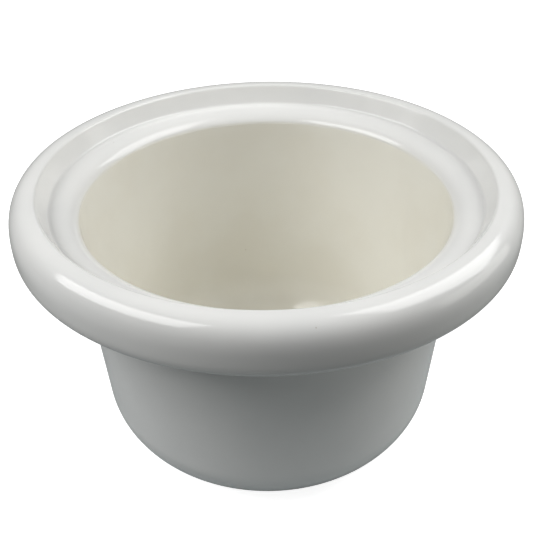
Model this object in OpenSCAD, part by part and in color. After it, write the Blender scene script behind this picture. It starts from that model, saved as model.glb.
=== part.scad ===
// Shaving bowl: a glazed ceramic bowl with a fat rolled rim, a stepped seat inside the rim
// and a deep round-bottomed well. The fired clay body stands on a bare foot ring. Two glaze
// coats cover the rest of it as skins, and they meet at the lip, the seat's inner edge.

/* [Bowl] */
// Height from the table to the top of the rim
height = 90; // [80:1:110]
// Outside diameter across the rolled rim
rim_d = 150; // [146:1:156]
// Inside diameter at the lip, where the seat turns down into the well
mouth_d = 110.8; // [106:0.1:114]
// Thickness of the side wall with its glaze, level with the underside of the rolled rim
wall = 3; // [2.6:0.1:4]
// Taper of the outer wall from vertical, in degrees
draft = 4.5; // [3:0.5:6]
// Taper of the well's wall from vertical, in degrees, so that the wall thickens downward
well_draft = 7; // [6:0.5:8]
// Radius of the big outside corner between the side wall and the foot
corner_r = 21; // [18:1:24]
// Radius of the corner between the well's wall and its floor
well_corner_r = 18; // [15:1:20]
// Height of the well's floor above the table
floor_z = 5; // [4:0.5:8]

/* [Rolled rim] */
// Height of the roll, from its underside to its top line
roll_h = 15.7; // [15:0.1:18]
// Depth of the roll's fattest line below its top line
roll_belly = 9; // [8:0.1:12]
// Distance from the roll's top line out to its fattest line
roll_out = 7.5; // [6:0.1:8]
// Squareness of the roll's outer side above its fattest line: 2 is an ellipse, more is squarer
top_square = 2.5; // [2:0.1:3.4]
// Squareness of the roll's outer side below its fattest line
low_square = 3.4; // [2:0.1:4]
// Radius of the roll's inner top edge
edge_r = 1.2; // [1:0.1:2]
// Radius of the nook between the roll's underside and the side wall
nook_r = 5; // [3:0.5:5]

/* [Seat] */
// Depth of the groove at the foot of the step, below the top of the rim
groove_depth = 6; // [5:0.1:7]
// Distance from the lip out to the foot of the step
seat_w = 8.9; // [8.6:0.1:9.6]
// Radius of the groove between the step and the seat
groove_r = 1.2; // [1:0.1:1.6]
// Drop of the rounded seat from the groove down to the lip
seat_drop = 4.6; // [3.5:0.1:5.5]

/* [Foot and glaze] */
// Width of the flat ring that the bowl stands on
foot_w = 6; // [4:0.5:8]
// Depth of the shallow hollow inside the foot ring
foot_hollow = 1.2; // [0.8:0.1:2]
// Height of the glaze's lower edge above the table
bare_band = 1.1; // [0.8:0.1:2]
// Thickness of each glaze coat
glaze_t = 0.5; // [0.3:0.1:0.7]

/* [Hidden] */
$fn = 180;

clay_colour = [0.84, 0.78, 0.68];
white_colour = [0.93, 0.93, 0.92];
ivory_colour = [0.89, 0.87, 0.79];

// degrees that one straight segment of a round stretch turns
arc_step = 5;
// how far the foot ring reaches out past the start of the corner
foot_reach = 3;
// size of the bevels on the foot ring's two edges
foot_bevel = 0.5;
// part of the seat's quarter turn that stays white, in degrees
white_turn = 78;

// the roll's top line, the lip, and the heights of the roll's underside and of the groove
rim_r = rim_d / 2;
mouth_r = mouth_d / 2;
crest_r = rim_r - roll_out;
underside_z = height - roll_h;
groove_z = height - groove_depth;

// the seat is a quarter ellipse, left where it has turned into the well's taper
groove_c = [mouth_r + seat_w - groove_r, groove_z + groove_r];
seat_c = [groove_c.x, groove_z - seat_drop];
seat_size = [groove_c.x - mouth_r, seat_drop];
lip_turn = 90 - atan(seat_size.y * tan(well_draft) / seat_size.x);
lip_end = seat_c + [-seat_size.x * sin(lip_turn), seat_size.y * cos(lip_turn)];

// radius of the well's wall and of the outer wall at height z
function well_r(z) = lip_end.x - (lip_end.y - z) * tan(well_draft);
function wall_r(z) = well_r(underside_z) + wall - (underside_z - z) * tan(draft);

// centres of the round corners that join each wall to its floor
outer_c = [wall_r(corner_r * (1 - sin(draft))) - corner_r * cos(draft), corner_r];
well_corner_top = floor_z + well_corner_r * (1 - sin(well_draft));
well_c = [well_r(well_corner_top) - well_corner_r * cos(well_draft), floor_z + well_corner_r];

// points on an ellipse of half-sizes s round c, from angle a to angle b, squared off by e
function bulge(c, s, a, b, square = 2) =
    let (n = ceil(abs(b - a) / arc_step), e = 2 / square)
    [for (i = [0 : n]) let (t = a + (b - a) * i / n)
        c + [s.x * sign(cos(t)) * pow(abs(cos(t)), e), s.y * sign(sin(t)) * pow(abs(sin(t)), e)]];

// points on an arc of radius r round c, from angle a to angle b
function arc(c, r, a, b) = bulge(c, [r, r], a, b);

// a path without its first point, to follow another path that ends there
function rest(path) = [for (i = [1 : len(path) - 1]) path[i]];

function reversed(path) = [for (i = [len(path) - 1 : -1 : 0]) path[i]];

// unit normal on the right of the step from p to q
function right_of(p, q) = let (d = q - p) [d.y, -d.x] / norm(d);

// the path moved t to its left, which is into the clay
function sunk(path, t) =
    let (last = len(path) - 1)
    [for (i = [0 : last])
        let (n = right_of(path[max(i - 1, 0)], path[max(i, 1)])
               + right_of(path[min(i, last - 1)], path[min(i + 1, last)]))
        path[i] - n * 2 * t / (n * n)];

// the wall and the roll, from the bare band at the foot up to the roll's top line
bare_turn = acos(1 - bare_band / corner_r);
nook_z = underside_z - nook_r;
nook_c = [wall_r(nook_z + nook_r * sin(draft)) + nook_r * cos(draft), nook_z];
roll_c = [crest_r, height - roll_belly];
wall_path = concat(
    arc(outer_c, corner_r, bare_turn - 90, -draft),
    arc(nook_c, nook_r, 180 - draft, 90),
    bulge(roll_c, [roll_out, roll_h - roll_belly], -90, 0, low_square),
    rest(bulge(roll_c, [roll_out, roll_belly], 0, 90, top_square))
);

// the step is the straight line that touches both the roll's inner edge and the groove
edge_c = [crest_r, height - edge_r];
span = groove_c - edge_c;
step_normal = atan2(span.y, span.x) + 360 - acos((edge_r + groove_r) / norm(span));
seat_path = concat(
    rest(arc(edge_c, edge_r, 90, step_normal)),
    arc(groove_c, groove_r, step_normal - 180, -90),
    rest(bulge(seat_c, seat_size, 90, 90 + white_turn))
);

// the well, from the lip down its wall and round its corner to the middle of the floor
well_path = concat(
    bulge(seat_c, seat_size, 90 + white_turn, 90 + lip_turn),
    arc(well_c, well_corner_r, -well_draft, -90),
    [[0, floor_z]]
);

// all the glazed surface in one path, and the clay surface one glaze coat below it
outer_path = concat(wall_path, seat_path);
glazed_path = concat(outer_path, rest(well_path));
clay_path = sunk(glazed_path, glaze_t);
seam = len(outer_path) - 1;
function part_of(path, first, last) = [for (i = [first : last]) path[i]];

// a glaze coat is a closed outline between two stretches of those paths, turned round Z
module glaze_coat(first, last) {
    rotate_extrude()
        polygon(concat(part_of(glazed_path, first, last), reversed(part_of(clay_path, first, last))));
}

// the clay body: wall, roll, seat, floor and the bare foot ring
module clay_body() {
    foot_r = outer_c.x + foot_reach;
    foot_in_r = foot_r - foot_w;
    band = arc(outer_c, corner_r - glaze_t, -90 + asin(foot_reach / (corner_r - glaze_t)), bare_turn - 90);
    color(clay_colour)
        rotate_extrude()
            polygon(concat(
                [
                    [0, foot_hollow],
                    [foot_in_r - foot_hollow, foot_hollow],
                    [foot_in_r, 0],
                    [foot_r - foot_bevel, 0],
                    [foot_r, foot_bevel]
                ],
                band,
                rest(clay_path)
            ));
}

// the white coat: outer wall, roll, step and seat
module white_outer_glaze() {
    color(white_colour) glaze_coat(0, seam);
}

// the ivory coat: the inside of the well
module ivory_well_glaze() {
    color(ivory_colour) glaze_coat(seam, len(glazed_path) - 1);
}

clay_body();
white_outer_glaze();
ivory_well_glaze();
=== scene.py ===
"""The shaving bowl's looks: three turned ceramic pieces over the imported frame."""

import math

import bmesh
import bpy
from mathutils import Matrix, Vector, noise


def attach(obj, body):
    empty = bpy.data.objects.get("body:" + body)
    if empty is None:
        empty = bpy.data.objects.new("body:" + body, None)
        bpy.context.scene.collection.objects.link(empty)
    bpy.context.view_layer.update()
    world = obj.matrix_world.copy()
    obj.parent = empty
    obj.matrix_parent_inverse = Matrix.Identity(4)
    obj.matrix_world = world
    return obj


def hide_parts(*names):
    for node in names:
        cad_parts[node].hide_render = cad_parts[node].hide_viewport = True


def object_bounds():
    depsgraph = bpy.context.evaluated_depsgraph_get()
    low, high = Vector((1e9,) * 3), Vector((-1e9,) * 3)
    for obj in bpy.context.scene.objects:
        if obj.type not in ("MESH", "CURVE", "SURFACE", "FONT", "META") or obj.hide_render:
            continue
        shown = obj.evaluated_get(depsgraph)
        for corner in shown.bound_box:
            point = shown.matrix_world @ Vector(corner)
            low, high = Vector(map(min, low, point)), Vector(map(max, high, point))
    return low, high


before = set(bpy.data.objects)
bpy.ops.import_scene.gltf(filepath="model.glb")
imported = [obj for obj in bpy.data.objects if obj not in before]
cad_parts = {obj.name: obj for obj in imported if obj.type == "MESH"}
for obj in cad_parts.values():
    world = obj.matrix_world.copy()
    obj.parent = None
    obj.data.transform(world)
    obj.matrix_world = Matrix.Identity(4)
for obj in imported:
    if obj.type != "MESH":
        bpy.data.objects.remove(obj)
cad_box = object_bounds()

MM = 0.001

# ---------------------------------------------------------------------------------------
# The bowl's dimensions, in metres. The outside sizes come from the frame, and the others
# repeat the CAD model's, so that each piece lies where its CAD node does.
# ---------------------------------------------------------------------------------------
RIM_R = cad_box[1].x
HEIGHT = cad_box[1].z
MOUTH_R = 55.4 * MM
WALL = 3 * MM
DRAFT = 4.5
WELL_DRAFT = 7
CORNER_R = 21 * MM
WELL_CORNER_R = 18 * MM
FLOOR_Z = 5 * MM

ROLL_H = 15.7 * MM
ROLL_BELLY = 9 * MM
ROLL_OUT = 7.5 * MM
TOP_SQUARE = 2.5
LOW_SQUARE = 3.4
EDGE_R = 1.2 * MM
NOOK_R = 5 * MM

GROOVE_DEPTH = 6 * MM
SEAT_W = 8.9 * MM
GROOVE_R = 1.2 * MM
SEAT_DROP = 4.6 * MM

FOOT_W = 6 * MM
FOOT_HOLLOW = 1.2 * MM
FOOT_REACH = 3 * MM
FOOT_ROUND = 0.5 * MM
BARE_BAND = 1.1 * MM
GLAZE_T = 0.5 * MM
# part of the seat's quarter turn that stays white, in degrees
WHITE_TURN = 78

# length over which the glaze thins out at its lower edge
GLAZE_TAPER = 0.9 * MM
# depth and spacing of the rings that the trimming tool left in the foot's hollow, and the
# number of outline points that draw each
TRIM_DEPTH = 0.12 * MM
TRIM_PITCH = 2.2 * MM
TRIM_POINTS = 8
# the most that firing has moved any point of the turned shape, and how far apart its waves are
WARP = 0.12 * MM
WARP_WAVE = 70 * MM
# shift between the waves that move points inwards and the ones that move them down
WARP_SHIFT = Vector((5, 3, 8))

# segments round the bowl, and the longest steps along its outline: degrees of an arc, and metres
SEGMENTS = 256
FINE_ARC = 2
FLAT_STEP = 3 * MM
# only one in this many outline points is kept where clay and glaze touch, out of sight
HIDDEN_STEP = 4
# an edge that turns more than this stays sharp
SHARP_TURN = math.radians(35)
# two points closer than this are one, and a point this close to the axis lies on it
SAME_POINT = 0.01 * MM


# ---------------------------------------------------------------------------------------
# Outline tools. A point is a Vector of (radius, height), and a path is a list of points.
# ---------------------------------------------------------------------------------------
def bulge(centre, size, start, end, square=2.0):
    """Points on a squared-off ellipse round centre, from one angle to another in degrees."""
    count = math.ceil(abs(end - start) / FINE_ARC)
    path = []
    for i in range(count + 1):
        turn = math.radians(start + (end - start) * i / count)
        across, up = math.cos(turn), math.sin(turn)
        x = math.copysign(abs(across) ** (2 / square), across)
        y = math.copysign(abs(up) ** (2 / square), up)
        path.append(centre + Vector((size[0] * x, size[1] * y)))
    return path


def arc(centre, radius, start, end):
    """Points on an arc, from one angle to another in degrees."""
    return bulge(centre, (radius, radius), start, end)


def straight(first, last):
    """Points from first to last, no more than a flat step apart."""
    count = max(1, math.ceil((last - first).length / FLAT_STEP))
    return [first.lerp(last, i / count) for i in range(count + 1)]


def joined(*paths):
    """One path from several, without doubled points where one ends and the next begins."""
    points = []
    for path in paths:
        for point in path:
            if not points or (point - points[-1]).length > SAME_POINT:
                points.append(point)
    return points


def sunk(path, depths):
    """The path moved to its left, which is into the clay, by a depth at each point."""
    ends = [path[0] * 2 - path[1], *path, path[-1] * 2 - path[-2]]
    moved = []
    for before, point, after, depth in zip(ends, path, ends[2:], depths):
        along = (point - before).normalized() + (after - point).normalized()
        outward = Vector((along.y, -along.x))
        moved.append(point - outward * 2 * depth / outward.length_squared)
    return moved


def thinned(path):
    """Only every few points of a path, but always its first and last."""
    return [*path[:-1:HIDDEN_STEP], path[-1]]


def taper_depths(path):
    """How far the glaze's face lies below its full thickness, along a path from its edge."""
    depths = []
    run = 0.0
    for before, point in zip([path[0], *path], path):
        run += (point - before).length
        bare = max(0.0, 1 - run / GLAZE_TAPER)
        depths.append(GLAZE_T * (1 - math.sqrt(1 - bare * bare)))
    return depths


# ---------------------------------------------------------------------------------------
# The bowl's outline, made of the same stretches as the CAD model's
# ---------------------------------------------------------------------------------------
crest_r = RIM_R - ROLL_OUT
underside_z = HEIGHT - ROLL_H
groove_z = HEIGHT - GROOVE_DEPTH
taper = math.tan(math.radians(DRAFT))
well_taper = math.tan(math.radians(WELL_DRAFT))
groove_c = Vector((MOUTH_R + SEAT_W - GROOVE_R, groove_z + GROOVE_R))
seat_c = Vector((groove_c.x, groove_z - SEAT_DROP))
seat_size = (groove_c.x - MOUTH_R, SEAT_DROP)
lip_turn = 90 - math.degrees(math.atan(seat_size[1] * well_taper / seat_size[0]))
lip_end = bulge(seat_c, seat_size, 90, 90 + lip_turn)[-1]


def well_r(z):
    """Radius of the well's wall at height z."""
    return lip_end.x - (lip_end.y - z) * well_taper


def wall_r(z):
    """Radius of the outer wall at height z."""
    return well_r(underside_z) + WALL - (underside_z - z) * taper


def corner_centre(radius, floor, draft, radius_at):
    """Centre of the round corner between a floor and the wall of that radius and draft."""
    touch = floor + radius * (1 - math.sin(math.radians(draft)))
    return Vector((radius_at(touch) - radius * math.cos(math.radians(draft)), floor + radius))


outer_c = corner_centre(CORNER_R, 0, DRAFT, wall_r)
well_c = corner_centre(WELL_CORNER_R, FLOOR_Z, WELL_DRAFT, well_r)
bare_turn = math.degrees(math.acos(1 - BARE_BAND / CORNER_R)) - 90


def wall_path():
    """The outside, from the glaze's lower edge up the corner and the wall to under the roll."""
    corner = arc(outer_c, CORNER_R, bare_turn, -DRAFT)
    lean = math.radians(DRAFT)
    nook_z = underside_z - NOOK_R
    nook_c = Vector((wall_r(nook_z + NOOK_R * math.sin(lean)) + NOOK_R * math.cos(lean), nook_z))
    nook = arc(nook_c, NOOK_R, 180 - DRAFT, 90)
    under = Vector((crest_r, underside_z))
    return joined(corner, straight(corner[-1], nook[0]), nook, straight(nook[-1], under))


def roll_path():
    """The roll, from its underside round its outer side to its top line."""
    roll_c = Vector((crest_r, HEIGHT - ROLL_BELLY))
    lower = bulge(roll_c, (ROLL_OUT, ROLL_H - ROLL_BELLY), -90, 0, LOW_SQUARE)
    upper = bulge(roll_c, (ROLL_OUT, ROLL_BELLY), 0, 90, TOP_SQUARE)
    return joined(lower, upper)


def seat_path():
    """The step, the groove at its foot and the white part of the rounded seat."""
    edge_c = Vector((crest_r, HEIGHT - EDGE_R))
    span = groove_c - edge_c
    lean = math.degrees(math.acos((EDGE_R + GROOVE_R) / span.length))
    step_turn = math.degrees(math.atan2(span.y, span.x)) + 360 - lean
    edge = arc(edge_c, EDGE_R, 90, step_turn)
    groove = arc(groove_c, GROOVE_R, step_turn - 180, -90)
    seat = bulge(seat_c, seat_size, 90, 90 + WHITE_TURN)
    return joined(edge, straight(edge[-1], groove[0]), groove, seat)


def well_path():
    """The ivory part of the seat, the well's wall, its round corner and its flat floor."""
    lip = bulge(seat_c, seat_size, 90 + WHITE_TURN, 90 + lip_turn)
    corner = arc(well_c, WELL_CORNER_R, -WELL_DRAFT, -90)
    middle = Vector((0, FLOOR_Z))
    return joined(lip, straight(lip[-1], corner[0]), corner, straight(corner[-1], middle))


def foot_path():
    """The bare clay, from the axis over the hollow and the foot ring up to the glaze."""
    foot_r = outer_c.x + FOOT_REACH
    foot_in_r = foot_r - FOOT_W
    # the hollow's edge slopes at 45 degrees, and this is how far its rounded ends reach past it
    ease = FOOT_ROUND * math.tan(math.radians(45 / 2))
    hollow_r = foot_in_r - FOOT_HOLLOW - ease
    steps = round(hollow_r / TRIM_PITCH) * TRIM_POINTS
    hollow = []
    for i in range(steps + 1):
        ripple = TRIM_DEPTH * (1 - math.cos(2 * math.pi * i / TRIM_POINTS)) / 2
        hollow.append(Vector((hollow_r * i / steps, FOOT_HOLLOW + ripple)))
    dip = arc(Vector((hollow_r, FOOT_HOLLOW - FOOT_ROUND)), FOOT_ROUND, 90, 45)
    inner = arc(Vector((foot_in_r + ease, FOOT_ROUND)), FOOT_ROUND, 225, 270)
    outer = arc(Vector((foot_r - FOOT_ROUND, FOOT_ROUND)), FOOT_ROUND, 270, 360)
    clay_corner_r = CORNER_R - GLAZE_T
    start = math.degrees(math.asin(FOOT_REACH / clay_corner_r)) - 90
    band = arc(outer_c, clay_corner_r, start, bare_turn)
    return joined(hollow, dip, inner, straight(inner[-1], outer[0]), outer, band)


outside = joined(wall_path(), roll_path(), seat_path())
glazed = joined(outside, well_path())
seam = len(outside) - 1
clay_face = sunk(glazed, [GLAZE_T] * len(glazed))
clay_under_white = thinned(clay_face[:seam + 1])
clay_under_ivory = thinned(clay_face[seam:])
white_face = sunk(glazed, taper_depths(glazed))[:seam + 1]
ivory_face = glazed[seam:]


# ---------------------------------------------------------------------------------------
# Meshes
# ---------------------------------------------------------------------------------------
def settled(place):
    """Where firing has moved a point of the turned shape: never outwards or off the table."""
    wave = place / WARP_WAVE
    inward = 0.5 + 0.5 * noise.noise(wave)
    down = 0.5 + 0.5 * noise.noise(wave + WARP_SHIFT)
    slim = 1 - WARP / RIM_R * min(max(inward, 0), 1)
    low = 1 - WARP / HEIGHT * min(max(down, 0), 1)
    return Vector((place.x * slim, place.y * slim, place.z * low))


def ring_of(mesh, point):
    """The vertices of an outline point turned round Z: just one if it lies on the axis."""
    turns = SEGMENTS if point.x > SAME_POINT else 1
    ring = []
    for k in range(turns):
        angle = 2 * math.pi * k / turns
        place = Vector((point.x * math.cos(angle), point.x * math.sin(angle), point.y))
        ring.append(mesh.verts.new(settled(place)))
    return ring


def band_between(mesh, first, second):
    """The faces between two rings: quads, or triangles where one ring is a single vertex."""
    for k in range(SEGMENTS):
        after = (k + 1) % SEGMENTS
        corners = [
            first[k % len(first)],
            first[after % len(first)],
            second[after % len(second)],
            second[k % len(second)],
        ]
        mesh.faces.new(dict.fromkeys(corners))


def turned(name, outline, material):
    """A closed piece: an outline that runs from axis to axis, or rejoins itself, turned round Z."""
    mesh = bmesh.new()
    rings = [ring_of(mesh, point) for point in outline]
    for first, second in zip(rings, rings[1:]):
        band_between(mesh, first, second)
    if len(rings[0]) > 1:
        band_between(mesh, rings[-1], rings[0])
    for face in mesh.faces:
        face.smooth = True
    for edge in mesh.edges:
        edge.smooth = edge.calc_face_angle(0) < SHARP_TURN
    data = bpy.data.meshes.new(name)
    mesh.to_mesh(data)
    mesh.free()
    data.materials.append(material)
    piece = bpy.data.objects.new(name, data)
    bpy.context.scene.collection.objects.link(piece)
    return piece


# ---------------------------------------------------------------------------------------
# Materials
# ---------------------------------------------------------------------------------------
class Recipe:
    """A material's node tree, with short names for the nodes that the recipes use."""

    def __init__(self, name):
        self.material = bpy.data.materials.new(name)
        self.material.use_nodes = True
        self.tree = self.material.node_tree
        self.shader = self.tree.nodes["Principled BSDF"]
        self.place = self.tree.nodes.new("ShaderNodeTexCoord").outputs["Object"]

    def link(self, source, socket):
        """Links an output to a socket, or sets the socket if the source is a plain value."""
        if isinstance(source, bpy.types.NodeSocket):
            self.tree.links.new(source, socket)
        else:
            socket.default_value = source

    def noise(self, size, detail=2.0):
        """Cloudy noise from 0 to 1, whose blotches are about size metres across."""
        node = self.tree.nodes.new("ShaderNodeTexNoise")
        self.link(self.place, node.inputs["Vector"])
        node.inputs["Scale"].default_value = 1 / size
        node.inputs["Detail"].default_value = detail
        return node.outputs["Fac"]

    def cells(self, size):
        """Distance to the nearest of many points scattered size metres apart, in that unit."""
        node = self.tree.nodes.new("ShaderNodeTexVoronoi")
        self.link(self.place, node.inputs["Vector"])
        node.inputs["Scale"].default_value = 1 / size
        return node.outputs["Distance"]

    def math(self, operation, first, second=0.0):
        """The result of a math operation on one or two values."""
        node = self.tree.nodes.new("ShaderNodeMath")
        node.operation = operation
        self.link(first, node.inputs[0])
        self.link(second, node.inputs[1])
        return node.outputs[0]

    def remap(self, source, low, high, to_low=0.0, to_high=1.0):
        """The source's range low to high eased onto another range, and held at its ends."""
        node = self.tree.nodes.new("ShaderNodeMapRange")
        node.interpolation_type = "SMOOTHSTEP"
        self.link(source, node.inputs["Value"])
        node.inputs["From Min"].default_value = low
        node.inputs["From Max"].default_value = high
        node.inputs["To Min"].default_value = to_low
        node.inputs["To Max"].default_value = to_high
        return node.outputs["Result"]

    def mix(self, share, first, second):
        """First colour where the share is 0, second where it is 1."""
        node = self.tree.nodes.new("ShaderNodeMix")
        node.data_type = "RGBA"
        self.link(share, node.inputs["Factor"])
        self.link(first, node.inputs[6])
        self.link(second, node.inputs[7])
        return node.outputs[2]

    def bump(self, height, distance, under=None):
        """A bumped normal: height from 0 to 1 stands for that distance in metres."""
        node = self.tree.nodes.new("ShaderNodeBump")
        self.link(height, node.inputs["Height"])
        node.inputs["Distance"].default_value = distance
        if under:
            self.link(under, node.inputs["Normal"])
        return node.outputs["Normal"]

    def radius(self):
        """Distance from the bowl's axis."""
        flat = self.tree.nodes.new("ShaderNodeVectorMath")
        flat.operation = "MULTIPLY"
        self.link(self.place, flat.inputs[0])
        flat.inputs[1].default_value = (1, 1, 0)
        length = self.tree.nodes.new("ShaderNodeVectorMath")
        length.operation = "LENGTH"
        self.link(flat.outputs[0], length.inputs[0])
        return length.outputs["Value"]

    def height(self):
        """Height above the table."""
        split = self.tree.nodes.new("ShaderNodeSeparateXYZ")
        self.link(self.place, split.inputs[0])
        return split.outputs["Z"]


# colours of the glazes, thin and where they have pooled, and of their specks
WHITE = (0.845, 0.845, 0.825, 1)
WHITE_THICK = (0.815, 0.817, 0.80, 1)
IVORY = (0.82, 0.807, 0.738, 1)
IVORY_THICK = (0.795, 0.775, 0.697, 1)
SPECK = (0.42, 0.37, 0.30, 1)
# how much of a speck's colour shows through the glaze
SPECK_SHARE = 0.45
# the two glazes run into each other over this distance on each side of their seam
SEAM_BLEND = 0.7 * MM

GLAZE_IOR = 1.5
GLAZE_ROUGHNESS = 0.11
# how much rougher the glaze is where it is haziest
GLAZE_HAZE = 0.08
# heights of the slow waves where the glaze ran and of its orange peel, and depth of its pinholes
WAVE_HEIGHT = 0.08 * MM
PEEL_HEIGHT = 0.002 * MM
PINHOLE_DEPTH = 0.06 * MM

# colours of the bare clay, of its grit and of what has soiled it
CLAY = (0.70, 0.62, 0.51, 1)
CLAY_PALE = (0.78, 0.71, 0.61, 1)
CLAY_GRIT = (0.40, 0.33, 0.26, 1)
SOILED = (0.36, 0.33, 0.29, 1)
# how far above the table the soiling reaches
SOILED_HEIGHT = 0.25 * MM

# roughness of the dark and of the pale clay
CLAY_ROUGHNESS = (0.78, 0.92)
# spacing and depth of the fine trimming lines, and depth of the clay's grain
LINE_PITCH = 0.55 * MM
LINE_DEPTH = 0.03 * MM
GRAIN_DEPTH = 0.05 * MM


def seam_share(recipe):
    """How much of the other glaze's colour shows: half at the seam, and none away from it."""
    across = recipe.math("SUBTRACT", recipe.radius(), glazed[seam].x)
    up = recipe.math("SUBTRACT", recipe.height(), glazed[seam].y)
    squares = recipe.math("ADD", recipe.math("POWER", across, 2.0), recipe.math("POWER", up, 2.0))
    wander = recipe.remap(recipe.noise(9 * MM), 0.3, 0.7, -0.15 * MM, 0.25 * MM)
    gap = recipe.math("ADD", recipe.math("SQRT", squares), wander)
    return recipe.remap(gap, 0.0, SEAM_BLEND, 0.5, 0.0)


def glaze_colour(recipe, own, own_thick, other):
    """A glaze that has pooled a little thicker here and there, with rare specks in it."""
    share = seam_share(recipe)
    cloud = recipe.remap(recipe.noise(28 * MM, 3), 0.35, 0.68)
    colour = recipe.mix(share, recipe.mix(cloud, own, own_thick), other)
    dot = recipe.remap(recipe.cells(7 * MM), 0.022, 0.045, 1.0, 0.0)
    rare = recipe.remap(recipe.noise(15 * MM, 0), 0.60, 0.66)
    dot = recipe.math("MULTIPLY", recipe.math("MULTIPLY", dot, rare), SPECK_SHARE)
    return recipe.mix(dot, colour, SPECK)


def glaze_relief(recipe):
    """Slow waves where the glaze ran, a fine orange peel, and rare pinholes."""
    waves = recipe.bump(recipe.noise(13 * MM, 1), WAVE_HEIGHT)
    peel = recipe.bump(recipe.noise(1.6 * MM, 2), PEEL_HEIGHT, under=waves)
    pinhole = recipe.remap(recipe.cells(11 * MM), 0.012, 0.035)
    return recipe.bump(pinhole, PINHOLE_DEPTH, under=peel)


def glaze(name, own, own_thick, other):
    """A glossy glaze that takes half of the other glaze's colour at the seam."""
    recipe = Recipe(name)
    haziest = GLAZE_ROUGHNESS + GLAZE_HAZE
    haze = recipe.remap(recipe.noise(11 * MM, 4), 0.3, 0.75, GLAZE_ROUGHNESS, haziest)
    recipe.link(glaze_colour(recipe, own, own_thick, other), recipe.shader.inputs["Base Color"])
    recipe.link(haze, recipe.shader.inputs["Roughness"])
    recipe.link(glaze_relief(recipe), recipe.shader.inputs["Normal"])
    recipe.shader.inputs["IOR"].default_value = GLAZE_IOR
    return recipe.material


def clay_relief(recipe):
    """Fine trimming lines round the foot, and the clay's grain."""
    lines = recipe.math("SINE", recipe.math("MULTIPLY", recipe.radius(), 2 * math.pi / LINE_PITCH))
    lines = recipe.bump(recipe.remap(lines, -1, 1), LINE_DEPTH)
    return recipe.bump(recipe.noise(0.5 * MM, 4), GRAIN_DEPTH, under=lines)


def fired_clay():
    """Dry, fine-grained clay: trimming lines, grit, and soiling where the foot stands."""
    recipe = Recipe("fired_clay")
    cloud = recipe.remap(recipe.noise(16 * MM, 4), 0.35, 0.65)
    colour = recipe.mix(cloud, CLAY, CLAY_PALE)
    dot = recipe.remap(recipe.cells(1.3 * MM), 0.10, 0.22, 0.7, 0.0)
    some = recipe.remap(recipe.noise(2.5 * MM, 0), 0.52, 0.60)
    colour = recipe.mix(recipe.math("MULTIPLY", dot, some), colour, CLAY_GRIT)
    worn = recipe.remap(recipe.height(), 0.0, SOILED_HEIGHT, 1.0, 0.0)
    patchy = recipe.remap(recipe.noise(5 * MM, 5), 0.35, 0.70, 0.1, 0.75)
    colour = recipe.mix(recipe.math("MULTIPLY", worn, patchy), colour, SOILED)
    recipe.link(colour, recipe.shader.inputs["Base Color"])
    recipe.link(recipe.remap(cloud, 0, 1, *CLAY_ROUGHNESS), recipe.shader.inputs["Roughness"])
    recipe.link(clay_relief(recipe), recipe.shader.inputs["Normal"])
    return recipe.material


# ---------------------------------------------------------------------------------------
# The pieces
# ---------------------------------------------------------------------------------------
white_glaze = glaze("white_glaze", WHITE, WHITE_THICK, IVORY)
ivory_glaze = glaze("ivory_glaze", IVORY, IVORY_THICK, WHITE)

clay_outline = joined(foot_path(), clay_under_white, clay_under_ivory)
white_outline = joined(white_face, clay_under_white[:0:-1])
ivory_outline = joined(clay_under_ivory[::-1], ivory_face)

for name, outline, material, node, slot in (
    ("fired_clay_body", clay_outline, fired_clay(), "clay_body", "fired_clay"),
    ("white_glaze_coat", white_outline, white_glaze, "white_outer_glaze", "white_glaze"),
    ("ivory_glaze_coat", ivory_outline, ivory_glaze, "ivory_well_glaze", "ivory_glaze"),
):
    piece = turned(name, outline, material)
    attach(piece, "root")
    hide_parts(node)


# ---------------------------------------------------------------------------------------
# Floor, lights and camera
# ---------------------------------------------------------------------------------------

# how the floor, which glows as well, and the background look to the camera
FLOOR_SEEN = (0.60, 0.60, 0.60, 1)
FLOOR_ROUGHNESS = 0.9
FLOOR_GLOW = 0.88
BACKGROUND_SEEN = (0.95, 0.95, 0.95, 1)
# what the bowl is lit by: the floor's colour near it and far from it, and the room's light
FLOOR_NEAR = (0.43, 0.46, 0.47, 1)
FLOOR_FAR = (0.18, 0.19, 0.19, 1)
ROOM_COLOUR = (0.97, 1.0, 1.0, 1)
ROOM_STRENGTH = 0.03

# the floor's size, and how far it lies under the foot, so that the two don't share a plane
FLOOR_RADIUS = 6.0
FLOOR_SEGMENTS = 96
FLOOR_GAP = 0.02 * MM


def pale_surface(tree, output, seen, bounced):
    """One shader for the camera, and another for the light that reaches the bowl."""
    path = tree.nodes.new("ShaderNodeLightPath")
    mix = tree.nodes.new("ShaderNodeMixShader")
    tree.links.new(path.outputs["Is Camera Ray"], mix.inputs["Fac"])
    tree.links.new(bounced, mix.inputs[1])
    tree.links.new(seen, mix.inputs[2])
    tree.links.new(mix.outputs[0], output)


def floor_material():
    """Pale to the camera, but darker to the light it bounces, most of all away from the bowl."""
    recipe = Recipe("pale_floor")
    seen = recipe.shader
    seen.inputs["Base Color"].default_value = FLOOR_SEEN
    seen.inputs["Roughness"].default_value = FLOOR_ROUGHNESS
    seen.inputs["Emission Color"].default_value = (1, 1, 1, 1)
    seen.inputs["Emission Strength"].default_value = FLOOR_GLOW
    away = recipe.remap(recipe.radius(), RIM_R, RIM_R * 2)
    bounced = recipe.tree.nodes.new("ShaderNodeBsdfDiffuse")
    recipe.link(recipe.mix(away, FLOOR_NEAR, FLOOR_FAR), bounced.inputs["Color"])
    output = recipe.tree.nodes["Material Output"].inputs["Surface"]
    pale_surface(recipe.tree, output, seen.outputs[0], bounced.outputs[0])
    return recipe.material


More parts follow.
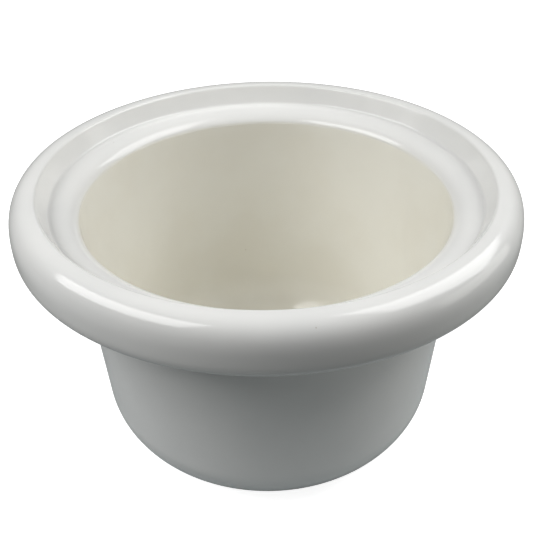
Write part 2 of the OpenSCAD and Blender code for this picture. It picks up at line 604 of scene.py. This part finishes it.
def floor():
    """A plain pale floor under the bowl."""
    mesh = bmesh.new()
    bmesh.ops.create_circle(mesh, cap_ends=True, segments=FLOOR_SEGMENTS, radius=FLOOR_RADIUS)
    data = bpy.data.meshes.new("pale_floor")
    mesh.to_mesh(data)
    mesh.free()
    data.materials.append(floor_material())
    plane = bpy.data.objects.new("pale_floor", data)
    plane.location.z = -FLOOR_GAP
    bpy.context.scene.collection.objects.link(plane)


def room():
    """Dim light from all round, and a pale background."""
    world = bpy.data.worlds.new("room")
    world.use_nodes = True
    tree = world.node_tree
    bounced = tree.nodes["Background"]
    bounced.inputs["Color"].default_value = ROOM_COLOUR
    bounced.inputs["Strength"].default_value = ROOM_STRENGTH
    seen = tree.nodes.new("ShaderNodeBackground")
    seen.inputs["Color"].default_value = BACKGROUND_SEEN
    output = tree.nodes["World Output"].inputs["Surface"]
    pale_surface(tree, output, seen.outputs[0], bounced.outputs[0])
    bpy.context.scene.world = world


# each area light: name, centre, direction of its first side, both sides in metres, watts, colour
SOFTBOXES = (
    ("left_softbox", (-0.416, -0.136, 0.495), (0.45, -0.73, 0.24), (0.58, 0.32), 3.0, (1, 1, 1)),
    ("right_softbox", (0.388, 0.085, 0.510), (-0.39, -0.52, 0.44), (0.48, 0.44), 2.75, (1, 1, 1)),
    ("right_fill", (0.56, -0.02, 0.13), (0, 1, 0), (0.45, 0.24), 0.50, (1, 0.99, 0.95)),
)


def softbox(name, centre, along, size, watts, colour):
    """A rectangular area light that faces the rim's centre, its first side along a direction."""
    data = bpy.data.lights.new(name, "AREA")
    data.shape = "RECTANGLE"
    data.size, data.size_y = size
    data.energy = watts
    data.color = colour
    lamp = bpy.data.objects.new(name, data)
    centre = Vector(centre)
    along = Vector(along)
    back = (centre - Vector((0, 0, HEIGHT))).normalized()
    side = (along - along.project(back)).normalized()
    axes = Matrix((side, back.cross(side), back)).transposed()
    lamp.matrix_world = Matrix.Translation(centre) @ axes.to_4x4()
    bpy.context.scene.collection.objects.link(lamp)


# the photograph's view: distance from the rim's centre in metres, and angles in degrees
VIEW_DISTANCE = 0.2540
VIEW_ELEVATION = 27.97
CAMERA_PITCH = 34.24
CAMERA_YAW = -0.044
CAMERA_ROLL = -0.897
LENS = 57.92
# nearer than this the camera sees nothing
CLIP_START = 0.01


def camera():
    """The camera, above the front of the bowl and looking down into it."""
    data = bpy.data.cameras.new("camera")
    data.lens = LENS
    data.clip_start = CLIP_START
    eye = bpy.data.objects.new("camera", data)
    rise = math.radians(VIEW_ELEVATION)
    offset = Vector((0, -math.cos(rise), math.sin(rise))) * VIEW_DISTANCE
    turn = Matrix.Rotation(math.radians(-CAMERA_YAW), 4, "Z")
    pitch = Matrix.Rotation(math.radians(90 - CAMERA_PITCH), 4, "X")
    roll = Matrix.Rotation(math.radians(CAMERA_ROLL), 4, "Z")
    eye.matrix_world = Matrix.Translation(Vector((0, 0, HEIGHT)) + offset) @ turn @ pitch @ roll
    bpy.context.scene.collection.objects.link(eye)
    bpy.context.scene.camera = eye


floor()
room()
for box in SOFTBOXES:
    softbox(*box)
camera()
bpy.context.scene.view_settings.view_transform = "Standard"
